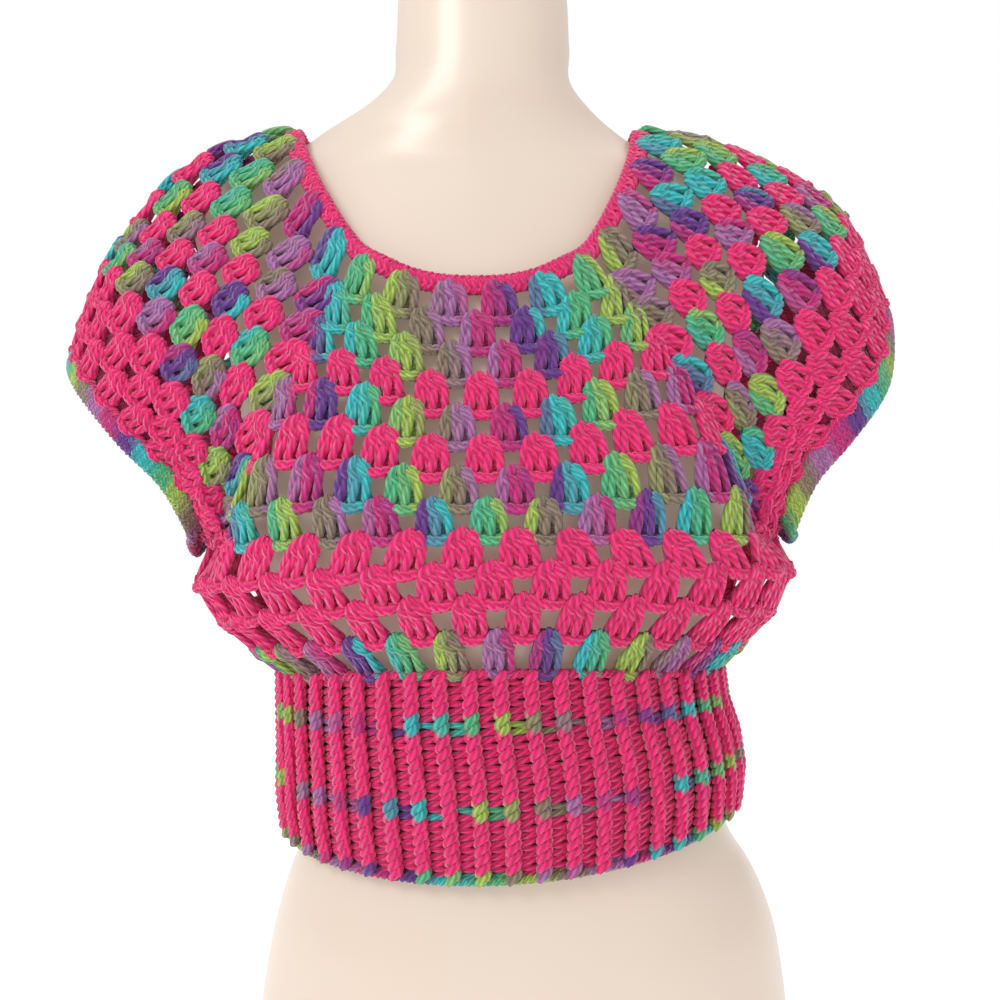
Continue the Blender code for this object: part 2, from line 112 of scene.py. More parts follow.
# The waistband's sections, from the body's last ring down to the hem. The tilt lifts the
# hem towards the wearer's left, per unit of width.
RIB_COLUMNS = ("half_width", "front_depth", "front_height", "side_height",
               "back_depth", "back_height", "tilt", "shift")
RIB = (
    (123, 98, 257, 246, 90, 265, 0.01, 0),
    (124, 100, 232, 227, 89, 240, 0.03, 0),
    (127, 101, 206, 207, 90, 216, 0.045, 2),
    (129, 99, 181, 186, 92, 192, 0.055, 2),
    (127, 95, 156, 165, 94, 168, 0.065, 1),
)
RIB_ROUNDNESS = 2.0

# The dress form's level sections, from its base to its neck. Set back is how far the two
# ends of a section lie behind its middle, and shift moves it off the leaning middle line.
FORM_COLUMNS = ("height", "half_width", "set_back", "front_depth", "back_depth",
                "exponent", "shift")
FORM = (
    (0, 153, 0, 104, 112, 2.3, 0),
    (52, 148, 0, 103, 112, 2.3, 1),
    (80, 145, 0, 101, 109, 2.2, 3),
    (110, 139, 0, 97, 103, 2.2, 5),
    (135, 130, 0, 92, 96, 2.1, 5),
    (150, 122, 0, 88, 88, 2.1, 4),
    (165, 117, 0, 87, 84, 2.0, 3),
    (205, 116, 0, 92, 80, 2.0, 2),
    (250, 113, 0, 88, 79, 2.0, 0),
    (280, 121, 0, 94, 86, 2.1, 0),
    (320, 133, 0, 101, 93, 2.2, 0),
    (350, 137, 0, 100, 94, 2.1, 0),
    (385, 139, 0, 91, 88, 2.0, 0),
    (420, 144, 2, 79, 79, 1.9, 0),
    (450, 152, 5, 67, 68, 1.8, 0),
    (480, 160, 8, 54, 58, 1.7, 0),
    (500, 163, 10, 46, 52, 1.6, 0),
    (515, 159, 12, 41, 48, 1.5, 0),
    (528, 144, 13, 37, 45, 1.45, 0),
    (539, 114.6, 13, 37, 45, 1.4, 0),
    (547, 97.6, 12, 38, 45, 1.35, 1),
    (556, 82.4, 9, 39, 46, 1.4, 2),
    (565, 67, 6, 40, 47, 1.6, 6),
    (576, 54, 4, 40, 48, 1.9, 9),
    (600, 50, 3, 39, 46, 2.0, 12),
    (632, 48, 3, 38, 45, 2.0, 14),
    (646, 45, 3, 35, 42, 2.0, 15),
    (652, 38, 3, 28, 35, 2.0, 15),
)

FRONT, BACK = -1, 1
SIDES = {"right": -1, "left": 1}    # the wearer's right is at -X


# ---- tables ----
def table_row(table, columns, ring):
    """The table's values at one ring, on a smooth curve through its rows."""
    rows = [dict(zip(columns, row)) for row in table]
    keys = [row["ring"] for row in rows]
    if ring in keys:
        return rows[keys.index(ring)]
    after = next(index for index, key in enumerate(keys) if key > ring)
    low, high = rows[after - 1], rows[after]
    before, beyond = rows[max(after - 2, 0)], rows[min(after + 1, len(rows) - 1)]
    span = high["ring"] - low["ring"]
    part = (ring - low["ring"]) / span

    def slope(first, last, column):
        width = max(last["ring"] - first["ring"], 1)
        return (last[column] - first[column]) / width * span

    def value(column):
        start, end = slope(before, high, column), slope(low, beyond, column)
        square, cube = part ** 2, part ** 3
        return ((2 * cube - 3 * square + 1) * low[column] + (cube - 2 * square + part) * start
                + (3 * square - 2 * cube) * high[column] + (cube - square) * end)

    return {column: value(column) for column in columns}


def lean_at(height):
    """The sideways place of the figure's middle line at a height."""
    return MIDDLE_X - LEAN * (height - LEAN_HEIGHT)


def place(x, y, height):
    """A point in metres from a place relative to the leaning middle line."""
    return Vector(((x + lean_at(height)) * MM, (y + MIDDLE_Y) * MM, height * MM))


# ---- curves ----
SPAN_STEPS = 12


def smooth_curve(points, closed=False):
    """A dense curve through the points (a centripetal Catmull-Rom spline)."""
    if closed:
        chain = [points[-1]] + list(points) + [points[0], points[1]]
    else:
        ends = [points[0] * 2 - points[1], points[-1] * 2 - points[-2]]
        chain = [ends[0]] + list(points) + [ends[1]]
    dense = []
    for index in range(1, len(chain) - 2):
        p0, p1, p2, p3 = chain[index - 1:index + 3]
        t1 = max((p1 - p0).length, 1e-6) ** 0.5
        t2 = t1 + max((p2 - p1).length, 1e-6) ** 0.5
        t3 = t2 + max((p3 - p2).length, 1e-6) ** 0.5
        for step in range(SPAN_STEPS):
            t = t1 + (t2 - t1) * step / SPAN_STEPS
            a1 = p0 * ((t1 - t) / t1) + p1 * (t / t1)
            a2 = p1 * ((t2 - t) / (t2 - t1)) + p2 * ((t - t1) / (t2 - t1))
            a3 = p2 * ((t3 - t) / (t3 - t2)) + p3 * ((t - t2) / (t3 - t2))
            b1 = a1 * ((t2 - t) / t2) + a2 * (t / t2)
            b2 = a2 * ((t3 - t) / (t3 - t1)) + a3 * ((t - t1) / (t3 - t1))
            dense.append(b1 * ((t2 - t) / (t2 - t1)) + b2 * ((t - t1) / (t2 - t1)))
    dense.append(chain[-2].copy())
    return dense


def even_points(dense, steps):
    """Points an equal length apart along a dense curve, its two ends among them."""
    lengths = [0.0]
    for first, second in zip(dense, dense[1:]):
        lengths.append(lengths[-1] + (second - first).length)
    result = []
    index = 0
    for step in range(steps + 1):
        target = lengths[-1] * step / steps
        while index < len(lengths) - 2 and lengths[index + 1] < target:
            index += 1
        span = max(lengths[index + 1] - lengths[index], 1e-9)
        part = min(max((target - lengths[index]) / span, 0.0), 1.0)
        result.append(dense[index].lerp(dense[index + 1], part))
    return result


def oval_depth(x, half_width, depth, exponent=ROUNDNESS):
    """Depth of a superellipse at a distance x from its middle."""
    inside = max(1.0 - abs(x / half_width) ** exponent, 0.0)
    return depth * inside ** (1.0 / exponent)


# ---- the yoke ----
def sleeve_key(ring, side, face, name):
    """A key point of a sleeve's ring: its crest, high, low, tuck or corner point."""
    row = table_row(SLEEVE, SLEEVE_COLUMNS, ring)
    if name == "tuck":
        low, corner = (sleeve_key(ring, side, face, end) for end in ("low", "corner"))
        across = Vector((-SIDES[side] * 0.8, 0.0, 0.6)) * row["tuck"] * MM
        return low.lerp(corner, 0.5) + across
    lift = {"crest": row["crest_lift"], "corner": row["lift"] * 0.5}.get(name, row["lift"])
    height = row[name + "_z"] + SIDES[side] * lift
    depth = CREST_DEPTH if name == "crest" else face * row[name + "_y"]
    if face == BACK and name != "crest":
        depth = depth * BACK_RATIO + BACK_SHIFT[name] * (1 - ring / HEM_RING)
        middle = table_row(CENTRE, CENTRE_COLUMNS, min(ring, YOKE_ROWS))
        height += RISE_SHARE[name] * (middle["back_height"] - middle["front_height"])
    return place(SIDES[side] * row[name + "_x"], depth, height)


def over_shoulder_keys(ring, side):
    """A sleeve's key points from its front corner, over the crest, to its back corner."""
    names = ("corner", "low", "high") if ring <= YOKE_ROWS else ("corner", "tuck", "low", "high")
    front = [sleeve_key(ring, side, FRONT, name) for name in names]
    back = [sleeve_key(ring, side, BACK, name) for name in names[::-1]]
    return front + [sleeve_key(ring, side, FRONT, "crest")] + back


def panel_keys(ring, face):
    """Key points of a yoke ring across the front or the back, between the corners."""
    middle = table_row(CENTRE, CENTRE_COLUMNS, ring)
    corner_row = table_row(SLEEVE, SLEEVE_COLUMNS, ring)
    name = "front" if face == FRONT else "back"
    depth, height = middle[name + "_depth"], middle[name + "_height"]
    bend = 2.5 - 0.06 * ring            # a deep round neckline, and nearly level rows below
    halves = []
    for side in ("right", "left"):
        corner_height = sleeve_key(ring, side, face, "corner").z / MM
        half = []
        for share in (1.0, 0.72, 0.4):
            x = corner_row["fold_x"] * share
            rise = (corner_height - height) * (x / corner_row["corner_x"]) ** bend
            y = face * oval_depth(x, middle["reach"], depth)
            half.append(place(SIDES[side] * x, y, height + rise))
        halves.append(half)
    return halves[0] + [place(0.0, face * depth, height)] + halves[1][::-1]


def yoke_ring(ring):
    """A closed yoke ring, cut at its corners into evenly spaced stretches.

    The front and the back run from -X to +X, and each sleeve from its front corner to its
    back corner.
    """
    left, right = (over_shoulder_keys(ring, side) for side in ("left", "right"))
    keys = [right[0]] + panel_keys(ring, FRONT) + left
    back_start = len(keys) - 1
    keys += panel_keys(ring, BACK)[::-1] + right[:0:-1]
    dense = smooth_curve(keys, closed=True)
    cuts = [0, back_start - len(left) + 1, back_start, len(keys) - len(right) + 1, len(keys)]
    parts = [dense[first * SPAN_STEPS:last * SPAN_STEPS + 1] for first, last in zip(cuts, cuts[1:])]
    return {
        "front": even_points(parts[0], FRONT_STEPS),
        "left": even_points(parts[1], SLEEVE_STEPS),
        "back": even_points(parts[2][::-1], FRONT_STEPS),
        "right": even_points(parts[3][::-1], SLEEVE_STEPS),
    }


def oval_ring(row, side_height, tilt_lift, shift=0.0, exponent=ROUNDNESS):
    """A closed ring's front and back halves, each from -X to +X."""
    halves = {}
    for face, name in ((FRONT, "front"), (BACK, "back")):
        keys = []
        count = 24
        for step in range(count + 1):
            turn = math.pi * step / count
            x = -math.cos(turn)
            share = abs(x) ** 2.0
            depth = row[name + "_depth"]
            y = face * oval_depth(x, 1.0, depth, exponent)
            height = row[name + "_height"] * (1 - share) + side_height * share
            keys.append(place(x * row["half_width"] + shift, y, height + tilt_lift * x))
        halves[face] = even_points(keys, FRONT_STEPS + UNDERARM_STEPS)
    return halves


def body_ring(ring):
    """A body ring. Ring 8 follows the yoke's corners and the underarms instead."""
    row = table_row(SIDE, SIDE_COLUMNS, ring)
    if ring > YOKE_ROWS:
        exponent = ROUNDNESS - (ROUNDNESS - RIB_ROUNDNESS) * (ring - 8) / 4
        return oval_ring(row, row["height"], row["lift"], exponent=exponent)
    stretches = yoke_ring(ring)
    halves = {}
    for face, name in ((FRONT, "front"), (BACK, "back")):
        right = underarm_points("right", face, SIDE, SIDE_COLUMNS, ring)
        left = underarm_points("left", face, SIDE, SIDE_COLUMNS, ring)
        halves[face] = right[::-1][:-1] + stretches[name] + left[1:]
    return halves


def underarm_keys(side, face, table, columns, ring):
    """Key points from a raglan corner to the middle of the underarm."""
    row = table_row(table, columns, ring)
    corner = sleeve_key(ring, side, face, "corner")
    height = row["height"] + SIDES[side] * row["lift"]
    end = place(SIDES[side] * row["half_width"], 0.0, height)
    middle = corner.lerp(end, 0.5)
    middle.x = corner.x + (end.x - corner.x) * 0.72
    return [corner, middle, end]


def underarm_points(side, face, table, columns, ring):
    """Evenly spaced points from a raglan corner to the middle of the underarm."""
    keys = underarm_keys(side, face, table, columns, ring)
    return even_points(smooth_curve(keys), UNDERARM_STEPS // 2)


def rib_ring(index):
    """One section of the waistband."""
    row = dict(zip(RIB_COLUMNS, RIB[index]))
    lift = row["tilt"] * row["half_width"]
    return oval_ring(row, row["side_height"], lift, row["shift"], RIB_ROUNDNESS)


def tube_ring(ring, side):
    """A sleeve tube's ring: over the crest and back along the underarm, closed."""
    over = over_shoulder_keys(ring, side)
    back = underarm_keys(side, BACK, UNDERARM, UNDERARM_COLUMNS, ring)
    front = underarm_keys(side, FRONT, UNDERARM, UNDERARM_COLUMNS, ring)
    dense = smooth_curve(over + back[1:] + [front[1]], closed=True)
    cuts = [0, len(over) - 1, len(over) + 1, len(over) + 3]
    steps = (SLEEVE_STEPS, UNDERARM_STEPS // 2, UNDERARM_STEPS // 2)
    points = []
    for first, last, count in zip(cuts, cuts[1:], steps):
        stretch = dense[first * SPAN_STEPS:last * SPAN_STEPS + 1]
        points += even_points(stretch, count)[:-1]
    return points


# ---- yarn ----
YARN = 1.95             # radius of the plied yarn
SIDES_ROUND = 5         # sides of a strand's tube
PLIES = 4
PLY_PITCH = 24.0        # length over which the plies turn once

# One cycle of the variegated yarn, as linear RGB.
TURQUOISE = (0.035, 0.50, 0.52)
GREEN = (0.09, 0.48, 0.22)
LIME = (0.38, 0.54, 0.09)
OLIVE = (0.27, 0.20, 0.14)
LILAC = (0.42, 0.15, 0.38)
MAGENTA = (0.58, 0.02, 0.20)
PURPLE = (0.15, 0.035, 0.27)
CYCLE = np.array((TURQUOISE, GREEN, LIME, OLIVE, LILAC, MAGENTA, PURPLE))
PINK = np.array((0.89, 0.02, 0.185))

# The variegated rows: a cluster, the yarn's place in its cycle there, and clusters per cycle.
STRIPES = {
    1: (2.5, 0.71, 4.9),
    2: (3.0, 0.71, 4.6),
    3: (4.0, 0.71, 5.2),
    5: (5.0, 0.79, 4.3),
    7: (6.0, 0.73, 4.0),
    8: (6.0, 0.20, 4.3),
    12: (6.5, 0.64, 4.2),
}


def yarn_colour(place):
    """Colours at places in the yarn's cycle, each dye running a little into the next."""
    place = np.mod(np.asarray(place, dtype=float), 1.0) * len(CYCLE)
    index = np.floor(place).astype(int)
    part = np.clip((place - index - 0.5) / 0.5, 0.0, 1.0)[..., None]
    return CYCLE[index % len(CYCLE)] * (1 - part) + CYCLE[(index + 1) % len(CYCLE)] * part


def row_colour(row, cluster):
    """The colour of a row's yarn at a place counted in clusters."""
    cluster = np.asarray(cluster, dtype=float)
    if row not in STRIPES:
        return np.broadcast_to(PINK, cluster.shape + (3,))
    start, place, cycle = STRIPES[row]
    return yarn_colour(place + (cluster - start) / cycle)


class Strands:
    """Tubes of yarn that end up in one mesh."""

    def __init__(self):
        self.points, self.quads, self.colours, self.lengths = [], [], [], []
        self.count = 0

    def add(self, paths, normals, radii, colours):
        """Tubes along paths [tube, point, xyz] in metres, with radii in millimetres."""
        tubes, steps = paths.shape[:2]
        along = np.gradient(paths, axis=1)
        along /= np.linalg.norm(along, axis=2, keepdims=True) + 1e-12
        side = np.cross(normals, along)
        side /= np.linalg.norm(side, axis=2, keepdims=True) + 1e-12
        up = np.cross(along, side)
        turn = np.arange(SIDES_ROUND) * 2 * math.pi / SIDES_ROUND
        ring = (side[:, :, None] * np.cos(turn)[:, None] + up[:, :, None] * np.sin(turn)[:, None])
        points = paths[:, :, None] + ring * (radii[:, :, None, None] * MM)
        index = np.arange(tubes * steps * SIDES_ROUND).reshape(tubes, steps, SIDES_ROUND)
        index = index + self.count
        after = np.roll(index, -1, axis=2)
        quads = np.stack((index[:, :-1], after[:, :-1], after[:, 1:], index[:, 1:]), axis=-1)
        lengths = np.cumsum(np.linalg.norm(np.diff(paths, axis=1, prepend=paths[:, :1]), axis=2), 1)
        start = np.broadcast_to(lengths[:, :-1, None], quads.shape[:3])
        end = np.broadcast_to(lengths[:, 1:, None], quads.shape[:3])
        around = np.broadcast_to(np.arange(SIDES_ROUND) / SIDES_ROUND, quads.shape[:3])
        step = 1.0 / SIDES_ROUND
        maps = np.stack((
            np.stack((around, start), -1), np.stack((around + step, start), -1),
            np.stack((around + step, end), -1), np.stack((around, end), -1)), axis=-2)
        self.points.append(points.reshape(-1, 3))
        self.quads.append(quads.reshape(-1, 4))
        self.colours.append(np.repeat(colours.reshape(-1, 3), SIDES_ROUND, axis=0))
        self.lengths.append(maps.reshape(-1, 2))
        self.count += points.size // 3

    def build(self, name, material, node_slot):
        """One mesh object of all the tubes."""
        points = np.concatenate(self.points)
        quads = np.concatenate(self.quads)
        return mesh_object(name, points, quads, np.concatenate(self.colours),
                           np.concatenate(self.lengths), material)


def link_object(name, data, location=(0.0, 0.0, 0.0)):
    """A new object in the scene."""
    item = bpy.data.objects.new(name, data)
    item.location = location
    bpy.context.scene.collection.objects.link(item)
    return item


def mesh_object(name, points, quads, colours, maps, material):
    """A smooth mesh of quads with a colour at each point and a map of the yarn's length."""
    mesh = bpy.data.meshes.new(name)
    mesh.vertices.add(len(points))
    mesh.vertices.foreach_set("co", np.ascontiguousarray(points, dtype=np.float32).ravel())
    mesh.loops.add(len(quads) * 4)
    mesh.loops.foreach_set("vertex_index", quads.astype(np.int32).ravel())
    mesh.polygons.add(len(quads))
    mesh.polygons.foreach_set("loop_start", np.arange(0, len(quads) * 4, 4, dtype=np.int32))
    mesh.update(calc_edges=True)
    mesh.validate()
    layer = mesh.color_attributes.new("yarn_colour", "FLOAT_COLOR", "POINT")
    rgba = np.concatenate((colours, np.ones((len(colours), 1))), axis=1).astype(np.float32)
    layer.data.foreach_set("color", rgba.ravel())
    uv = mesh.uv_layers.new(name="yarn_length")
    uv.data.foreach_set("uv", np.ascontiguousarray(maps, dtype=np.float32).ravel())
    mesh.shade_smooth()
    mesh.materials.append(material)
    item = link_object(name, mesh)
    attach(item, "root")
    return item


# ---- rings as arrays ----
def unit(vectors):
    """Vectors scaled to a length of one."""
    return vectors / (np.linalg.norm(vectors, axis=-1, keepdims=True) + 1e-12)


def as_array(points):
    """Points as rows of an array, in metres."""
    return np.array([tuple(point) for point in points])


# How far, in rows, the yoke's rows rise beside the raglan corners, ring by ring.
ROW_BEND = (0.0, 0.12, 0.3, 0.5, 0.65, 0.65, 0.55, 0.3, 0.0)
BEND_START = {"front": 0.15, "back": 0.15, "left": 0.5, "right": 0.5}
BEND_REACH = 0.5        # share of a half stretch in which the rise sets in


def row_bend(name, ring, share):
    """The rise of a yoke row at shares of a stretch: none at its middle, full at its corners."""
    if not name:
        return np.zeros_like(share)
    reach = abs(np.clip(share, 0.0, 1.0) - 0.5) * 2
    part = np.clip((reach - BEND_START[name]) / BEND_REACH, 0.0, 1.0)
    return np.interp(ring, range(YOKE_ROWS + 1), ROW_BEND) * part * part * (3 - 2 * part)


class Surface:
    """Rings of points over one stretch or loop, with their directions and normals."""

    def __init__(self, rings, closed, name=""):
        self.closed = closed
        self.name = name
        self.first = min(rings)
        self.points = np.array([rings[ring] for ring in sorted(rings)])
        if closed:
            ahead, behind = np.roll(self.points, -1, axis=1), np.roll(self.points, 1, axis=1)
            self.along = unit(ahead - behind)
        else:
            self.along = unit(np.gradient(self.points, axis=1))
        self.down = unit(np.gradient(self.points, axis=0))
        self.normals = unit(np.cross(self.down, self.along))

    def at(self, ring, share):
        """Point, direction along the row, direction down and normal at shares of a ring."""
        share = np.asarray(share, dtype=float)
        count = self.points.shape[1]
        ring = ring - self.first - row_bend(self.name, ring, share)
        low_ring = np.clip(np.floor(ring).astype(int), 0, len(self.points) - 2)
        ring_part = (ring - low_ring)[..., None]
        if self.closed:
            place = np.mod(share, 1.0) * count
            low = np.floor(place).astype(int) % count
            high = (low + 1) % count
            part = (place - np.floor(place))[..., None]
        else:
            place = np.clip(share, 0.0, 1.0) * (count - 1)
            low = np.minimum(np.floor(place).astype(int), count - 2)
            high = low + 1
            part = (place - low)[..., None]
        result = []
        for grid in (self.points, self.along, self.down, self.normals):
            rows = [grid[row, low] * (1 - part) + grid[row, high] * part
                    for row in (low_ring, low_ring + 1)]
            result.append(rows[0] * (1 - ring_part) + rows[1] * ring_part)
        return [result[0]] + [unit(vectors) for vectors in result[1:]]

    def length(self, ring):
        """The length of a ring, in metres."""
        points = self.points[ring - self.first]
        steps = np.linalg.norm(np.diff(points, axis=0), axis=1).sum()
        return steps + (np.linalg.norm(points[0] - points[-1]) if self.closed else 0.0)


# Clusters round each piece. The yoke's grow by one a row to the first two of these.
PANEL_CLUSTERS = 13
SHOULDER_CLUSTERS = 15
UNDERARM_CLUSTERS = 3
BODY_CLUSTERS = 2 * (PANEL_CLUSTERS + UNDERARM_CLUSTERS)
TUBE_CLUSTERS = SHOULDER_CLUSTERS + UNDERARM_CLUSTERS
DETAIL = 12             # points of a ring for each cluster


def yoke_surfaces():
    """The yoke's four stretches, each running the same way round the neck."""
    rings = [yoke_ring(ring) for ring in range(YOKE_ROWS + 1)]
    order = {"front": 1, "left": 1, "back": -1, "right": -1}
    result = {}
    for name, step in order.items():
        result[name] = Surface({r: as_array(parts[name])[::step] for r, parts in enumerate(rings)},
                               closed=False, name=name)
    return result


def resample(points, count):
    """Evenly spaced points along an open polyline, without its last."""
    steps = np.linalg.norm(np.diff(points, axis=0), axis=1)
    place = np.concatenate(([0.0], np.cumsum(steps)))
    want = np.arange(count) / count * place[-1]
    return np.stack([np.interp(want, place, points[:, axis]) for axis in range(3)], axis=1)


def body_surface():
    """The body as one loop of clusters, from the front's first cluster on."""
    rings = {}
    edge = UNDERARM_STEPS // 2
    for ring in range(YOKE_ROWS, BODY_ROWS + 1):
        halves = body_ring(ring)
        front, back = as_array(halves[FRONT]), as_array(halves[BACK])[::-1]
        if ring == YOKE_ROWS:
            wide, narrow = PANEL_CLUSTERS * DETAIL, UNDERARM_CLUSTERS * DETAIL
            parts = [resample(front[edge:-edge], wide),
                     resample(np.concatenate((front[-edge - 1:], back[1:edge + 1])), narrow),
                     resample(back[edge:-edge], wide),
                     resample(np.concatenate((back[-edge - 1:], front[1:edge + 1])), narrow)]
            rings[ring] = np.concatenate(parts)
        else:
            half = (PANEL_CLUSTERS + UNDERARM_CLUSTERS) * DETAIL
            loop = np.concatenate((resample(front, half), resample(back, half)))
            rings[ring] = np.roll(loop, -UNDERARM_CLUSTERS * DETAIL // 2, axis=0)
    return Surface(rings, closed=True)


def tube_surface(side, yoke):
    """A sleeve's tube as a loop of clusters: over the shoulder, then under the arm."""
    rings = {}
    for ring in range(YOKE_ROWS, HEM_RING + 1):
        loop = as_array(tube_ring(ring, side))
        if ring == YOKE_ROWS:
            loop[:SLEEVE_STEPS + 1] = yoke.points[-1][::-1] if side == "right" else yoke.points[-1]
        loop = np.concatenate((loop, loop[:1]))
        over, under = loop[:SLEEVE_STEPS + 1], loop[SLEEVE_STEPS:]
        if side == "right":
            over, under = over[::-1], under[::-1]
        rings[ring] = np.concatenate((resample(over, SHOULDER_CLUSTERS * DETAIL),
                                      resample(under, UNDERARM_CLUSTERS * DETAIL)))
    return Surface(rings, closed=True)


# ---- stitches ----
POST_STEPS = 10
TOP_SPREAD = 2.3        # between the posts of a cluster where they start
OVERLAP = 5.5           # reach of a cluster's start above the ring over it
LIFTED = 1.6            # how far the start stands out, over the row above
USUAL_PITCH = 23.5      # from cluster to cluster across the middle of the front
SPREAD_SHARE = 0.29     # from post to post at a cluster's wide end, as a share of its pitch
WIDEST_SPREAD = 8.0
CORE_SHARES = (-0.22, 0.1, 0.4, 0.7, 1.0)   # where the painted-shade strip behind a cluster has its rows
ARC_STEPS = 14


def cluster_shape(pitch):
    """The spread of a cluster's posts at their wide end, and the scale of its yarn."""
    spread = np.minimum(pitch * SPREAD_SHARE, WIDEST_SPREAD)
    return spread, np.clip(pitch / USUAL_PITCH, 0.95, 1.2)


def add_clusters(strands, yarn_shade_strips, top, bottom, pitch, colours):
    """Clusters of three posts. top and bottom hold points, along, down and normal."""
    a, along_a, down_a, normal_a = top
    b, along_b, down_b, normal_b = bottom
    count = len(a)
    t = np.linspace(0.0, 1.0, POST_STEPS + 1)
    spread, size = cluster_shape(pitch)
    fan = t ** 0.7
    for post in (-1, 0, 1):
        rise = OVERLAP - (0.0 if post == 0 else 1.6)
        start = a - down_a * rise * MM
        end = b - down_b * (0.4 if post == 0 else 1.2) * MM
        path = start[:, None] * (1 - t)[:, None] + end[:, None] * t[:, None]
        along = unit(along_a[:, None] * (1 - t)[:, None] + along_b[:, None] * t[:, None])
        reach_out = TOP_SPREAD * size[:, None] * (1 - fan) + spread[:, None] * fan
        path = path + along * (post * reach_out[..., None] * MM)
        normal = unit(normal_a[:, None] * (1 - t)[:, None] + normal_b[:, None] * t[:, None])
        lift = LIFTED * np.exp(-((t - 0.12) / 0.3) ** 2) + 1.0 * np.sin(math.pi * t)
        lift = lift - 0.5 * abs(post)
        path = path + normal * (lift[:, None] * MM)
        line = unit(np.gradient(path, axis=1))
        side = unit(np.cross(normal, line))
        reach = 1.45 * np.clip(np.minimum(t / 0.15, (1.05 - t) / 0.1), 0.35, 1.0)
        colour = colours[:, post + 1]
        for half in (0.0, 1.0):
            turn = 2 * math.pi * (0.42 * t + 0.5 * half - 0.16 + 0.07 * post)
            offset = side * np.cos(turn)[:, None] + normal * 0.85 * np.sin(turn)[:, None]
            strand = path + offset * (reach[:, None] * MM * size[:, None, None])
            radius = YARN * np.clip(np.minimum(0.5 + t / 0.12, 0.5 + (1 - t) / 0.1), 0.5, 1.0)
            paint = np.broadcast_to(colour[:, None], strand.shape)
            strands.add(strand, normal, radius * size[:, None], paint)
        wrap_at = 3 + (post + 1) % 2
        across = np.linspace(-1.0, 1.0, 5)[:, None]
        wrap = path[:, wrap_at, None] + side[:, wrap_at, None] * (across * 2.3 * MM)
        wrap = wrap + line[:, wrap_at, None] * (across * (3.0 + post) * MM)
        wrap = wrap + normal[:, wrap_at, None] * ((1.7 - 1.6 * across ** 2) * MM)
        facing = np.broadcast_to(normal[:, wrap_at, None], wrap.shape)
        strands.add(wrap, facing, np.full((count, 5), 1.7), np.repeat(colour[:, None], 5, axis=1))
    rows = []
    for share in CORE_SHARES:
        middle = a * (1 - share) + b * share - unit(normal_a + normal_b) * 0.5 * MM
        wide = max(share, 0.0) ** 0.7
        half = (TOP_SPREAD * size * (1 - wide) + spread * wide + 1.8)[:, None] * MM
        across = along_a * (1 - share) + along_b * share
        rows.append(np.stack((middle - across * half, middle + across * half), axis=1))
    # Painted shade: the strip behind the cluster takes its middle post's colour darkened to 0.8.
    yarn_shade_strips.add_strips(np.stack(rows, axis=1), colours[:, 1] * 0.8)


def add_arcs(strands, bottom, pitch, colours):
    """The chain along the wide edge of each cluster, dipping in its middle."""
    b, along, down, normal = bottom
    u = np.linspace(-1.0, 1.0, ARC_STEPS + 1)
    size = np.clip(pitch / USUAL_PITCH, 0.95, 1.25)
    half = (cluster_shape(pitch)[0] + 1.0)[:, None, None] * MM
    path = b[:, None] + along[:, None] * (u[:, None] * half)
    path = path + down[:, None] * ((1.3 - 3.0 * u ** 2)[:, None] * MM)
    path = path + normal[:, None] * ((1.7 - 3.4 * u ** 2)[:, None] * MM)
    normals = np.broadcast_to(normal[:, None], path.shape)
    line = unit(np.gradient(path, axis=1))
    side = np.cross(normals, line)
    paint = np.stack([colours[:, 0]] * 4 + [colours[:, 1]] * (ARC_STEPS - 7)
                     + [colours[:, 2]] * 4, axis=1)
    for strand_half in (0.0, 1.0):
        turn = 2 * math.pi * (1.2 * u + 0.5 * strand_half)
        offset = side * np.cos(turn)[:, None] + normals * np.sin(turn)[:, None]
        radius = 1.7 * np.clip((1.15 - abs(u)) / 0.25, 0.6, 1.0) * size[:, None]
        strands.add(path + offset * (1.2 * MM * size[:, None, None]), normals, radius, paint)


class Patches:
    """Flat strips behind the stitches in darkened yarn colours, painted shade, which end up in one
    mesh.
    """

    def __init__(self):
        self.points, self.quads, self.colours, self.maps = [], [], [], []
        self.count = 0

    def add_strips(self, rows, colours):
        """Strips [strip, row, 2, xyz] with a colour for each strip or for each of its rows."""
        strips, steps = rows.shape[:2]
        index = np.arange(strips * steps * 2).reshape(strips, steps, 2) + self.count
        quads = np.stack((index[:, :-1, 0], index[:, 1:, 0], index[:, 1:, 1], index[:, :-1, 1]), -1)
        if colours.ndim == 2:
            colours = np.broadcast_to(colours[:, None], (strips, steps, 3))
        self.points.append(rows.reshape(-1, 3))
        self.quads.append(quads.reshape(-1, 4))
        self.colours.append(np.repeat(colours.reshape(-1, 3), 2, axis=0))
        self.maps.append(np.tile(((0.0, 0.0), (0.0, 0.01), (1.0, 0.01), (1.0, 0.0)),
                                 (quads.size // 4, 1)))
        self.count += rows.size // 3

    def build(self, name, material, node_slot):
        """One mesh object of all the strips."""
        return mesh_object(name, np.concatenate(self.points), np.concatenate(self.quads),
                           np.concatenate(self.colours), np.concatenate(self.maps), material)


def add_cord(strands, points, normals, across, colours, radius=1.3, reach=1.15, turn_mm=6.8,
             closed=False):
    """Two strands twisted round each other along a line, like a chain seen from its edge."""
    steps = np.linalg.norm(np.diff(points, axis=0), axis=1)
    place = np.concatenate(([0.0], np.cumsum(steps)))
    turns = place[-1] / MM / turn_mm
    if closed:
        turns = round(turns)
    count = max(int(turns * 5), 4)
    want = np.linspace(0.0, place[-1], count + 1)

    def sample(values):
        return np.stack([np.interp(want, place, values[:, axis]) for axis in range(3)], axis=1)

    line, normal, side = sample(points), unit(sample(normals)), unit(sample(across))
    paint = sample(colours)
    for half in (0.0, 1.0):
        turn = 2 * math.pi * (turns * want / place[-1] + 0.5 * half)
        offset = side * np.cos(turn)[:, None] + normal * np.sin(turn)[:, None]
        path = line + offset * reach * MM
        radii = np.full((1, count + 1), radius)
        strands.add(path[None], normal[None], radii, paint[None])


